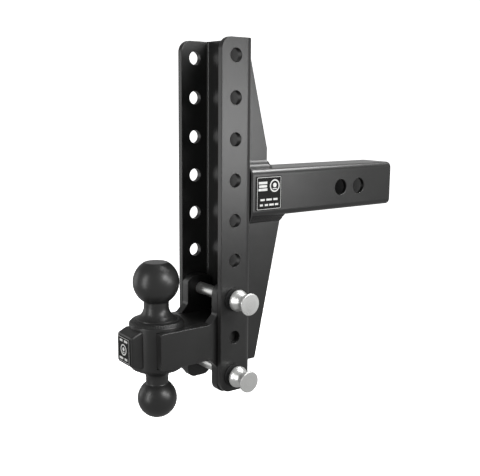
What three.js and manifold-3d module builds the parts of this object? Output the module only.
// Adjustable two-ball trailer hitch: a drilled channel on a receiver shank, and a
// sliding ball mount held in it by two pull pins.
// Millimetres, +Z up. X runs across the vehicle, +Y runs forward into the receiver
// tube, and the balls stand at the -Y end. The origin is where the axis of the rear
// receiver-pin hole crosses the shank's own axis.

import * as THREE from 'three';
import { mergeVertices } from 'three/addons/utils/BufferGeometryUtils.js';
import Module from 'manifold-3d';

const wasm = await Module();
wasm.setup();

// ---------------------------------------------------------------- driving dimensions

const GAP = 0.3;                    // left between pieces that touch

// Channel: a plate bent to a U, open towards -Y.
const CHANNEL_WIDTH = 97.4;
const CHANNEL_DEPTH = 49.5;
const PLATE_T = 7.94;
const BEND_R_IN = 3;
const FLANGE_CORNER_R = 15;
const PITCH = 50.8;                 // between height holes
const HOLE_COUNT = 9;
const HOLE_OVER_PIN = 1.225;        // hole diameter over the pin's
const HOLE_FROM_FRONT = 21.2;
const END_MARGIN = 21.8;            // past the first and the last hole

// Receiver shank: a square tube welded to the back of the web.
const SHANK_SIZE = 63.5;
const SHANK_WALL = 6.35;
const SHANK_CORNER_R = 8.5;
const SHANK_LENGTH = 276.7;
const TOP_HOLE_ABOVE_SHANK = 174;   // first height hole over the shank's axis
const RECEIVER_HOLE_D = 22;
const RECEIVER_HOLE_CHAMFER = 0.9;
const RECEIVER_HOLE_FROM_END = 68;
const RECEIVER_HOLE_SPACING = 36;

// Gussets above and below the shank.
const GUSSET_T = 25.4;
const UPPER_GUSSET_HEIGHT = 152;
const UPPER_GUSSET_FOOT = 52;
const UPPER_GUSSET_TIP = 20.5;
const UPPER_GUSSET_STEP = 26;       // upright part of the rear edge
const LOWER_GUSSET_HEIGHT = 200.5;
const LOWER_GUSSET_FOOT = 76.5;
const LOWER_GUSSET_TIP = 35;
const LOWER_GUSSET_STEP = 9;
const SHANK_WELD_LEG = 13;
const FOOT_WELD_LEG = 10.5;
const FOOT_WELD_SPREAD = 8;         // sideways, kept off the shank's rounded corner
const WEB_WELD_LEG = 7;

// Rating plate on the side of the shank.
const RATING_PLATE = { length: 43, height: 45, thick: 1, fromWeb: 18 };

// Ball mount: two side plates with ears, a core between them, a boss and a nose.
const MOUNT_HOLE = 7;               // height hole that takes the upper pin
const PIN_PITCHES = 2;              // pitches between the two pins
const SIDE_CLEARANCE = 0.5;         // ear to flange
const SIDE_PLATE_T = 12.7;
const SIDE_PLATE_PAST_BALL = 17.7;  // ahead of the balls' axis
const EAR_REAR_CLEARANCE = 4;
const EAR_CORNER_R = 12;
const EAR_ABOVE_PIN = 18.5;
const EAR_BELOW_PIN = 23;
const EAR_CHAMFER = 11;
const TONGUE_BELOW_MIDDLE = 3.5;    // tongue's middle under the middle of the two pins
const TONGUE_HEIGHT = 47;
const BALL_AXIS_FROM_WEB = 115.3;
const BOSS_R = 35;
const BOSS_PROUD = 4.6;             // above and below the tongue
const NOSE_PAST_BALL = 46.7;        // ahead of the balls' axis
const NOSE_WIDTH = 36;
const NOSE_HEIGHT = 37.4;           // of the front face
const NOSE_ROOT_HEIGHT = 48;        // where it meets the boss
const NOSE_EDGE_R = 4;
const NOSE_PLATE = { width: 30, height: 33, thick: 0.8 };

// Balls, from the middle of each ball towards the boss.
const UPPER_BALL = { diameter: 58.74, flatR: 14.7, neckR: 15.9, flareFrom: 36, rimR: 26.6, standoff: 51.8 };
const LOWER_BALL = { diameter: 50.8, flatR: 4, neckR: 14.5, flareFrom: 28, rimR: 25, standoff: 45.3 };
const RIM_HEIGHT = 5.5;
const FLARE_TURN = Math.PI / 2.6;   // how far round the flare's curve runs
const STEM_R = 12.7;
const STEM_LENGTH = 22;
const BALL_WELD_R = 34.5;

// Pull pins, their washers and hairpin clips.
const PIN_D = 15.875;
const PIN_END_FLOAT = 6;
const PIN_END_PAST_CLIP = 7;
const PIN_END_CHAMFER = 2;
const PIN_HEAD = { radius: 14, length: 31, collar: 6, waistRadius: 9, waistFrom: 20, flare: 4, disc: 3, edge: 0.8 };
const WASHER_R = 15.2;
const WASHER_T = 1.6;
const WIRE_D = 3.2;
const WIRE_HOLE_D = 3.9;
const CLIP_ABOVE = 22;              // pin axis to the start of the loop
const CLIP_BELOW = 20;
const CLIP_LOOP_R = 7;
const CLIP_SIDE_CLEARANCE = 0.4;    // sprung leg to the pin's shaft

// ------------------------------------------------------------------- derived places

const halfWidth = CHANNEL_WIDTH / 2;
const innerHalf = halfWidth - PLATE_T;
const webBack = -(SHANK_LENGTH + GAP - RECEIVER_HOLE_FROM_END);
const channelFront = webBack - CHANNEL_DEPTH;
const holeY = channelFront + HOLE_FROM_FRONT;
const holeR = (PIN_D + HOLE_OVER_PIN) / 2;
const topHoleZ = TOP_HOLE_ABOVE_SHANK;
const channelTop = topHoleZ + END_MARGIN;
const channelBottom = topHoleZ - (HOLE_COUNT - 1) * PITCH - END_MARGIN;
const shankHalf = SHANK_SIZE / 2;
const shankFront = webBack + GAP;
const shankRear = shankFront + SHANK_LENGTH;

const upperPinZ = topHoleZ - (MOUNT_HOLE - 1) * PITCH;
const lowerPinZ = upperPinZ - PIN_PITCHES * PITCH;
const earOut = innerHalf - SIDE_CLEARANCE;
const earIn = earOut - SIDE_PLATE_T;
const tongueMid = (upperPinZ + lowerPinZ) / 2 - TONGUE_BELOW_MIDDLE;
const tongueTop = tongueMid + TONGUE_HEIGHT / 2;
const tongueBottom = tongueMid - TONGUE_HEIGHT / 2;
const earRear = webBack - PLATE_T - EAR_REAR_CLEARANCE;
const ballY = webBack - BALL_AXIS_FROM_WEB;
const platesFront = ballY - SIDE_PLATE_PAST_BALL;
const noseFront = ballY - NOSE_PAST_BALL;
const bossTop = tongueTop + BOSS_PROUD;
const bossBottom = tongueBottom - BOSS_PROUD;
const clipX = -(halfWidth + PIN_END_FLOAT + WIRE_D / 2 + GAP);

// -------------------------------------------------------------------------- helpers

function material(color, roughness, metalness) {
  return new THREE.MeshStandardMaterial({ color, roughness, metalness });
}

function solidOf(geometry) {
  const bare = geometry.clone();
  bare.deleteAttribute('normal');
  bare.deleteAttribute('uv');
  const merged = mergeVertices(bare, 1e-4);
  return new wasm.Manifold(new wasm.Mesh({
    numProp: 3,
    vertProperties: new Float32Array(merged.attributes.position.array),
    triVerts: new Uint32Array(merged.index.array),
  }));
}

function geometryOf(solid) {
  const mesh = solid.getMesh();
  const geometry = new THREE.BufferGeometry();
  geometry.setAttribute('position', new THREE.BufferAttribute(mesh.vertProperties, 3));
  geometry.setIndex(new THREE.BufferAttribute(mesh.triVerts, 1));
  const flat = geometry.toNonIndexed();
  flat.computeVertexNormals();
  return flat;
}

// Corners are [u, v, radius]; a radius replaces the corner with an arc.
function roundedOutline(corners, arcSteps = 6) {
  const at = (i) => new THREE.Vector2(...corners[(i + corners.length) % corners.length]);
  return corners.flatMap(([, , radius = 0], i) => {
    const corner = at(i);
    if (radius === 0) return [corner];
    const back = at(i - 1).sub(corner).normalize();
    const ahead = at(i + 1).sub(corner).normalize();
    const half = Math.acos(back.dot(ahead)) / 2;
    const centre = back.clone().add(ahead).normalize()
      .multiplyScalar(radius / Math.sin(half)).add(corner);
    const start = back.multiplyScalar(radius / Math.tan(half)).add(corner).sub(centre);
    const end = ahead.multiplyScalar(radius / Math.tan(half)).add(corner).sub(centre);
    const turn = Math.atan2(start.cross(end), start.dot(end));
    const points = [];
    for (let k = 0; k <= arcSteps; k += 1) {
      const origin = new THREE.Vector2();
      points.push(start.clone().rotateAround(origin, turn * k / arcSteps).add(centre));
    }
    return points;
  });
}

function extruded(points, depth) {
  return new THREE.ExtrudeGeometry(new THREE.Shape(points), { depth, bevelEnabled: false });
}

// Outline in (Y, Z), thickness from x0 to x1.
function plateAcross(points, x0, x1) {
  const turn = new THREE.Matrix4().makeBasis(
    new THREE.Vector3(0, 1, 0), new THREE.Vector3(0, 0, 1), new THREE.Vector3(1, 0, 0));
  return solidOf(extruded(points, x1 - x0).applyMatrix4(turn).translate(x0, 0, 0));
}

// Outline in (Z, X), length from y0 to y1.
function barAlong(points, y0, y1) {
  const turn = new THREE.Matrix4().makeBasis(
    new THREE.Vector3(0, 0, 1), new THREE.Vector3(1, 0, 0), new THREE.Vector3(0, 1, 0));
  return solidOf(extruded(points, y1 - y0).applyMatrix4(turn).translate(0, y0, 0));
}

// Outline in (X, Y), height from z0 to z1.
function slab(points, z0, z1) {
  return solidOf(extruded(points, z1 - z0).translate(0, 0, z0));
}

function box(x0, x1, y0, y1, z0, z1) {
  const geometry = new THREE.BoxGeometry(x1 - x0, y1 - y0, z1 - z0);
  return solidOf(geometry.translate((x0 + x1) / 2, (y0 + y1) / 2, (z0 + z1) / 2));
}

function cylinderX(radius, x0, x1, y, z, sides = 24) {
  const geometry = new THREE.CylinderGeometry(radius, radius, x1 - x0, sides);
  return solidOf(geometry.rotateZ(Math.PI / 2).translate((x0 + x1) / 2, y, z));
}

function cylinderZ(radius, z0, z1, x, y, sides = 48) {
  const geometry = new THREE.CylinderGeometry(radius, radius, z1 - z0, sides);
  return solidOf(geometry.rotateX(Math.PI / 2).translate(x, y, (z0 + z1) / 2));
}

function chamferRing(radius, chamfer, x, y, z, side) {
  const wide = radius + chamfer * 2;
  const cone = new THREE.CylinderGeometry(wide, radius - chamfer, chamfer * 3, 24);
  const centre = x - side * chamfer / 2;
  return solidOf(cone.rotateZ(-side * Math.PI / 2).translate(centre, y, z));
}

// A block whose low face is one rectangle in (a, b) and high face another, joined by
// sloping sides: the body of a fillet weld. `place` turns (a, b, c) into (x, y, z).
function slopedBlock(low, high, c0, c1, place) {
  const corners = [[low, c0], [high, c1]].flatMap(([r, c]) => [
    [r.a0, r.b0, c], [r.a1, r.b0, c], [r.a1, r.b1, c], [r.a0, r.b1, c]]);
  const geometry = new THREE.BufferGeometry();
  const positions = corners.flatMap(([a, b, c]) => place(a, b, c));
  geometry.setAttribute('position', new THREE.Float32BufferAttribute(positions, 3));
  geometry.setIndex([0, 2, 1, 0, 3, 2, 4, 5, 6, 4, 6, 7, 0, 1, 5, 0, 5, 4,
    1, 2, 6, 1, 6, 5, 2, 3, 7, 2, 7, 6, 3, 0, 4, 3, 4, 7]);
  return solidOf(geometry);
}

function squareOutline(half, radius) {
  return roundedOutline([
    [-half, -half, radius], [half, -half, radius], [half, half, radius], [-half, half, radius]]);
}

function lathe(profile, sides) {
  const points = profile.map(([r, h]) => new THREE.Vector2(r, h));
  return new THREE.LatheGeometry(points, sides);
}

// Points of a curve given as at(t), for t from 0 to 1 in that many steps.
function curve(steps, at) {
  return Array.from({ length: steps + 1 }, (_, k) => at(k / steps));
}

// -------------------------------------------------------------------------- channel

function makeChannel() {
  const outer = BEND_R_IN + PLATE_T;
  const section = roundedOutline([
    [-halfWidth, channelFront],
    [-innerHalf, channelFront],
    [-innerHalf, webBack - PLATE_T, BEND_R_IN],
    [innerHalf, webBack - PLATE_T, BEND_R_IN],
    [innerHalf, channelFront],
    [halfWidth, channelFront],
    [halfWidth, webBack, outer],
    [-halfWidth, webBack, outer],
  ]);
  const side = roundedOutline([
    [channelFront, channelBottom, FLANGE_CORNER_R],
    [webBack + 1, channelBottom],
    [webBack + 1, channelTop],
    [channelFront, channelTop, FLANGE_CORNER_R],
  ]);
  let channel = slab(section, channelBottom, channelTop)
    .intersect(plateAcross(side, -halfWidth - 1, halfWidth + 1));
  for (let i = 0; i < HOLE_COUNT; i += 1) {
    const z = topHoleZ - i * PITCH;
    channel = channel.subtract(cylinderX(holeR, -halfWidth - 1, halfWidth + 1, holeY, z));
  }
  return channel;
}

// ---------------------------------------------------------------- shank and gussets

function makeShank() {
  const innerHalfSize = shankHalf - SHANK_WALL;
  const innerRadius = SHANK_CORNER_R - SHANK_WALL;
  let shank = barAlong(squareOutline(shankHalf, SHANK_CORNER_R), shankFront, shankRear)
    .subtract(barAlong(squareOutline(innerHalfSize, innerRadius), shankFront - 1, shankRear + 1));
  const radius = RECEIVER_HOLE_D / 2;
  for (const y of [0, -RECEIVER_HOLE_SPACING]) {
    shank = shank.subtract(cylinderX(radius, -shankHalf - 1, shankHalf + 1, y, 0));
    for (const side of [-1, 1]) {
      const face = side * shankHalf;
      shank = shank.subtract(chamferRing(radius, RECEIVER_HOLE_CHAMFER, face, y, 0, side));
    }
  }
  return shank;
}

// up is +1 for the gusset on top of the shank and -1 for the one under it.
function gussetOutline(up, height, foot, tip, step, grow = 0) {
  const base = shankHalf + GAP - grow;
  const y = webBack + GAP - grow;
  const corners = [
    [y, up * base],
    [webBack + foot + grow, up * base],
    [webBack + foot + grow, up * (shankHalf + step)],
    [webBack + tip + grow, up * (shankHalf + height + grow)],
    [y, up * (shankHalf + height + grow)],
  ];
  return roundedOutline(up > 0 ? corners : corners.reverse());
}

function makeGusset(up, height, foot, tip, step, grow = 0) {
  const half = GUSSET_T / 2 + grow;
  return plateAcross(gussetOutline(up, height, foot, tip, step, grow), -half, half);
}

const upperGusset = [1, UPPER_GUSSET_HEIGHT, UPPER_GUSSET_FOOT, UPPER_GUSSET_TIP, UPPER_GUSSET_STEP];
const lowerGusset = [-1, LOWER_GUSSET_HEIGHT, LOWER_GUSSET_FOOT, LOWER_GUSSET_TIP, LOWER_GUSSET_STEP];

// Half of the fillet weld round the shank where it meets the web. The gussets part
// the two halves.
function makeShankWeld(side) {
  const wide = shankHalf + SHANK_WELD_LEG;
  const tight = shankHalf + 1;
  const end = webBack + GAP + SHANK_WELD_LEG;
  const hole = squareOutline(shankHalf + GAP, SHANK_CORNER_R);
  const x0 = side > 0 ? GUSSET_T / 2 + GAP : -wide - 1;
  const x1 = side > 0 ? wide + 1 : -GUSSET_T / 2 - GAP;
  const half = box(x0, x1, webBack, end + 1, -wide - 1, wide + 1);
  return slopedBlock(
    { a0: -wide, a1: wide, b0: -wide, b1: wide },
    { a0: -tight, a1: tight, b0: -tight, b1: tight },
    webBack + GAP, end, (a, b, c) => [b, c, a])
    .subtract(barAlong(hole, webBack - 1, end + 1))
    .intersect(half);
}

// Fillet weld round three sides of a gusset's foot, lying on the shank.
function makeFootWeld(gusset) {
  const [up, , foot] = gusset;
  const half = GUSSET_T / 2;
  const start = webBack + SHANK_WELD_LEG + 3 * GAP;
  const low = { a0: -half - FOOT_WELD_SPREAD, a1: half + FOOT_WELD_SPREAD };
  const high = { a0: -half - 1, a1: half + 1 };
  const b = up > 0
    ? [start, webBack + foot + FOOT_WELD_LEG, start, webBack + foot + 1]
    : [-webBack - foot - FOOT_WELD_LEG, -start, -webBack - foot - 1, -start];
  return slopedBlock(
    { ...low, b0: b[0], b1: b[1] }, { ...high, b0: b[2], b1: b[3] },
    shankHalf + GAP, shankHalf + GAP + FOOT_WELD_LEG, (x, y, z) => [x, up * y, up * z])
    .subtract(makeGusset(...gusset, GAP));
}

// Upright fillet weld in the corner between the web and one face of a gusset.
function makeWebWeld(gusset, side) {
  const [up, height] = gusset;
  const face = GUSSET_T / 2 + GAP;
  const back = webBack + GAP;
  const corners = [[face, back], [face + WEB_WELD_LEG, back], [face, back + WEB_WELD_LEG]];
  const outline = corners.map(([x, y]) => new THREE.Vector2(side * x, y));
  const near = up * (shankHalf + SHANK_WELD_LEG + 3 * GAP);
  const far = up * (shankHalf + height - 2);
  return slab(outline, Math.min(near, far), Math.max(near, far));
}

function makeRatingPlate() {
  const y0 = webBack + RATING_PLATE.fromWeb;
  const h = RATING_PLATE.height / 2;
  const outline = roundedOutline([
    [y0, -h, 2], [y0 + RATING_PLATE.length, -h, 2],
    [y0 + RATING_PLATE.length, h, 2], [y0, h, 2]], 3);
  return plateAcross(outline, shankHalf + GAP, shankHalf + GAP + RATING_PLATE.thick);
}

// ----------------------------------------------------------------------- ball mount

function sidePlateOutline() {
  const c = EAR_CHAMFER;
  return roundedOutline([
    [platesFront, tongueBottom, 2],
    [channelFront - c, tongueBottom],
    [channelFront, tongueBottom - c],
    [channelFront, lowerPinZ - EAR_BELOW_PIN, EAR_CORNER_R],
    [earRear, lowerPinZ - EAR_BELOW_PIN, EAR_CORNER_R],
    [earRear, upperPinZ + EAR_ABOVE_PIN, EAR_CORNER_R],
    [channelFront, upperPinZ + EAR_ABOVE_PIN, EAR_CORNER_R],
    [channelFront, tongueTop + c],
    [channelFront - c, tongueTop],
    [platesFront, tongueTop, 2],
  ]);
}

function makeSidePlate(side) {
  const x0 = side > 0 ? earIn : -earOut;
  let plate = plateAcross(sidePlateOutline(), x0, x0 + SIDE_PLATE_T);
  for (const z of [upperPinZ, lowerPinZ]) {
    plate = plate.subtract(cylinderX(holeR, x0 - 1, x0 + SIDE_PLATE_T + 1, holeY, z));
  }
  return plate;
}

function makeCore() {
  const half = earIn - GAP;
  return box(-half, half, ballY, earRear, tongueBottom, tongueTop)
    .subtract(cylinderZ(BOSS_R + GAP, tongueBottom - 1, tongueTop + 1, 0, ballY));
}

function makeBoss() {
  const inner = earIn - GAP;
  const bore = STEM_R + GAP;
  const far = BOSS_R + 1;
  let boss = cylinderZ(BOSS_R, bossBottom, bossTop, 0, ballY);
  for (const [x0, x1] of [[inner, far], [-far, -inner]]) {
    boss = boss.subtract(box(x0, x1, platesFront - GAP, ballY + far,
      tongueBottom - GAP, tongueTop + GAP));
  }
  const depth = STEM_LENGTH + 2 * GAP;
  return boss
    .subtract(cylinderZ(bore, bossTop - depth, bossTop + 1, 0, ballY, 32))
    .subtract(cylinderZ(bore, bossBottom - 1, bossBottom + depth, 0, ballY, 32));
}

function makeNose() {
  const half = NOSE_WIDTH / 2;
  const outline = roundedOutline([
    [-half, noseFront, NOSE_EDGE_R], [half, noseFront, NOSE_EDGE_R],
    [half, ballY], [-half, ballY]]);
  const face = NOSE_HEIGHT / 2;
  const root = NOSE_ROOT_HEIGHT / 2;
  const bossFront = ballY - BOSS_R;
  const side = [
    [noseFront, -face], [bossFront, -root], [ballY, -root],
    [ballY, root], [bossFront, root], [noseFront, face]]
    .map(([y, z]) => new THREE.Vector2(y, tongueMid + z));
  return slab(outline, tongueMid - root - 1, tongueMid + root + 1)
    .intersect(plateAcross(side, -half - 1, half + 1))
    .subtract(cylinderZ(BOSS_R + GAP, bossBottom - 1, bossTop + 1, 0, ballY));
}

function makeNosePlate() {
  const w = NOSE_PLATE.width / 2;
  const h = NOSE_PLATE.height / 2;
  const outline = roundedOutline([
    [tongueMid - h, -w, 1.5], [tongueMid + h, -w, 1.5],
    [tongueMid + h, w, 1.5], [tongueMid - h, w, 1.5]], 3);
  const back = noseFront - GAP;
  return barAlong(outline, back - NOSE_PLATE.thick, back);
}

// Ball, neck, flared foot and stem in one turned piece. Heights run from the middle
// of the ball towards the boss, so the profile is drawn hanging under the ball.
function makeBall(spec, up) {
  const radius = spec.diameter / 2;
  const flatH = Math.sqrt(radius ** 2 - spec.flatR ** 2);
  const neckH = Math.sqrt(radius ** 2 - spec.neckR ** 2);
  const foot = spec.standoff - GAP;
  const flareEnd = foot - RIM_HEIGHT;
  const profile = [[0, flatH]];
  const from = Math.atan2(flatH, spec.flatR);
  const to = Math.atan2(-neckH, spec.neckR);
  profile.push(...curve(18, (t) => {
    const angle = from + (to - from) * t;
    return [radius * Math.cos(angle), radius * Math.sin(angle)];
  }));
  profile.push(...curve(5, (t) => {
    const across = (1 - Math.cos(t * FLARE_TURN)) / (1 - Math.cos(FLARE_TURN));
    const along = Math.sin(t * FLARE_TURN) / Math.sin(FLARE_TURN);
    return [
      spec.neckR + (spec.rimR - spec.neckR) * across,
      -spec.flareFrom - (flareEnd - spec.flareFrom) * along];
  }));
  profile.push([spec.rimR, -foot], [STEM_R, -foot]);
  profile.push([STEM_R, -foot - STEM_LENGTH], [0, -foot - STEM_LENGTH]);
  const centre = up > 0 ? bossTop + spec.standoff : bossBottom - spec.standoff;
  const geometry = lathe(profile.reverse(), 36).rotateX(up * Math.PI / 2);
  return solidOf(geometry.translate(0, ballY, centre));
}

function makeBallWeld(spec, up) {
  const inner = spec.rimR + GAP;
  const profile = [
    [inner, GAP], [BALL_WELD_R, GAP], [BALL_WELD_R - 0.6, 1.6],
    [(inner + BALL_WELD_R) / 2, RIM_HEIGHT * 0.72], [inner, RIM_HEIGHT], [inner, GAP]];
  const geometry = lathe(profile, 36).rotateX(up * Math.PI / 2);
  return solidOf(geometry.translate(0, ballY, up > 0 ? bossTop : bossBottom));
}

// ------------------------------------------------------------------ pins and clips

// The head is a collar that narrows to a waist, and a disc to pull by.
function makePin(z) {
  const { radius, length, collar, waistRadius, waistFrom, flare, disc, edge } = PIN_HEAD;
  const seat = halfWidth + WASHER_T + 2 * GAP;
  const end = clipX - PIN_END_PAST_CLIP;
  const tip = seat + length;
  const shaft = PIN_D / 2;
  const narrowing = curve(5, (t) => [
    waistRadius + (radius - waistRadius) * (1 + Math.cos(t * Math.PI)) / 2,
    seat + collar + (waistFrom - collar) * t]);
  const flaring = curve(3, (t) => [
    waistRadius + (radius - edge - waistRadius) * (1 - Math.cos(t * Math.PI / 2)),
    tip - disc - flare * (1 - Math.sin(t * Math.PI / 2))]);
  const profile = [
    [0, end], [shaft - PIN_END_CHAMFER, end], [shaft, end + PIN_END_CHAMFER], [shaft, seat],
    [radius - edge, seat], [radius, seat + edge], ...narrowing, ...flaring,
    [radius, tip - disc + edge], [radius, tip - edge], [radius - edge, tip], [0, tip]];
  const geometry = lathe(profile, 28).rotateZ(-Math.PI / 2).translate(0, holeY, z);
  return solidOf(geometry)
    .subtract(cylinderZ(WIRE_HOLE_D / 2, z - PIN_D, z + PIN_D, clipX, holeY, 12));
}

function makeWasher(z) {
  return cylinderX(WASHER_R, halfWidth + GAP, halfWidth + GAP + WASHER_T, holeY, z, 32)
    .subtract(cylinderX(PIN_D / 2 + GAP, halfWidth, halfWidth + 2 * WASHER_T, holeY, z, 28));
}

// The straight leg runs down through the pin; the sprung leg passes behind it.
function makeClip(z) {
  const beside = PIN_D / 2 + WIRE_D / 2 + CLIP_SIDE_CLEARANCE;
  const top = z + CLIP_ABOVE;
  const at = (dy, height) => new THREE.Vector3(clipX, holeY + dy, height);
  const points = [at(0, z - CLIP_BELOW), at(0, z), at(0, top - 4)];
  const loopY = CLIP_LOOP_R - 1.5;
  for (const degrees of [200, 160, 120, 80, 40, 0, -30]) {
    const angle = degrees * Math.PI / 180;
    points.push(at(loopY + CLIP_LOOP_R * Math.cos(angle), top + 6 + CLIP_LOOP_R * Math.sin(angle)));
  }
  points.push(at(beside - 1.5, z + 17), at(beside + 0.7, z + 9), at(beside + 0.4, z));
  points.push(at(beside + 0.1, z - 9), at(beside + 2.6, z - CLIP_BELOW + 4));
  const route = new THREE.CatmullRomCurve3(points, false, 'centripetal');
  const section = new THREE.Shape();
  section.absarc(0, 0, WIRE_D / 2, 0, Math.PI * 2, false);
  const options = { steps: 44, curveSegments: 4, bevelEnabled: false, extrudePath: route };
  return solidOf(new THREE.ExtrudeGeometry(section, options));
}

// ------------------------------------------------------------------------- assembly

const hitch = new THREE.Group();

const BLACK = [0x24262a, 0.55, 0.55];
const BLACK_INNER = [0x1d1f22, 0.6, 0.5];
const WELD = [0x1f2124, 0.65, 0.5];
const BALL = [0x33363a, 0.42, 0.7];
const STEEL = [0xc9cccf, 0.28, 1.0];
const WIRE = [0xb4b8bc, 0.35, 1.0];
const PLATE = [0x101113, 0.35, 0.2];
const RUBBER = [0x0c0c0d, 0.85, 0.0];

function add(name, solid, look) {
  const mesh = new THREE.Mesh(geometryOf(solid), material(...look));
  mesh.name = name;
  hitch.add(mesh);
}

add('channel', makeChannel(), BLACK);
add('shank', makeShank(), BLACK);
add('shank_weld_right', makeShankWeld(1), WELD);
add('shank_weld_left', makeShankWeld(-1), WELD);
for (const [name, gusset] of [['upper', upperGusset], ['lower', lowerGusset]]) {
  add(`${name}_gusset`, makeGusset(...gusset), BLACK);
  add(`${name}_gusset_foot_weld`, makeFootWeld(gusset), WELD);
  add(`${name}_gusset_web_weld_right`, makeWebWeld(gusset, 1), WELD);
  add(`${name}_gusset_web_weld_left`, makeWebWeld(gusset, -1), WELD);
}
add('rating_plate', makeRatingPlate(), PLATE);

add('side_plate_right', makeSidePlate(1), BLACK);
add('side_plate_left', makeSidePlate(-1), BLACK);
add('tongue_core', makeCore(), BLACK_INNER);
add('ball_boss', makeBoss(), BLACK);
add('nose_block', makeNose(), BLACK);
add('nose_plate', makeNosePlate(), PLATE);
add('upper_ball', makeBall(UPPER_BALL, 1), BALL);
add('upper_ball_weld', makeBallWeld(UPPER_BALL, 1), WELD);
add('lower_ball', makeBall(LOWER_BALL, -1), BALL);
add('lower_ball_weld', makeBallWeld(LOWER_BALL, -1), WELD);

for (const [name, z] of [['upper', upperPinZ], ['lower', lowerPinZ]]) {
  add(`${name}_pin`, makePin(z), STEEL);
  add(`${name}_pin_washer`, makeWasher(z), RUBBER);
  add(`${name}_clip`, makeClip(z), WIRE);
}

export default hitch;
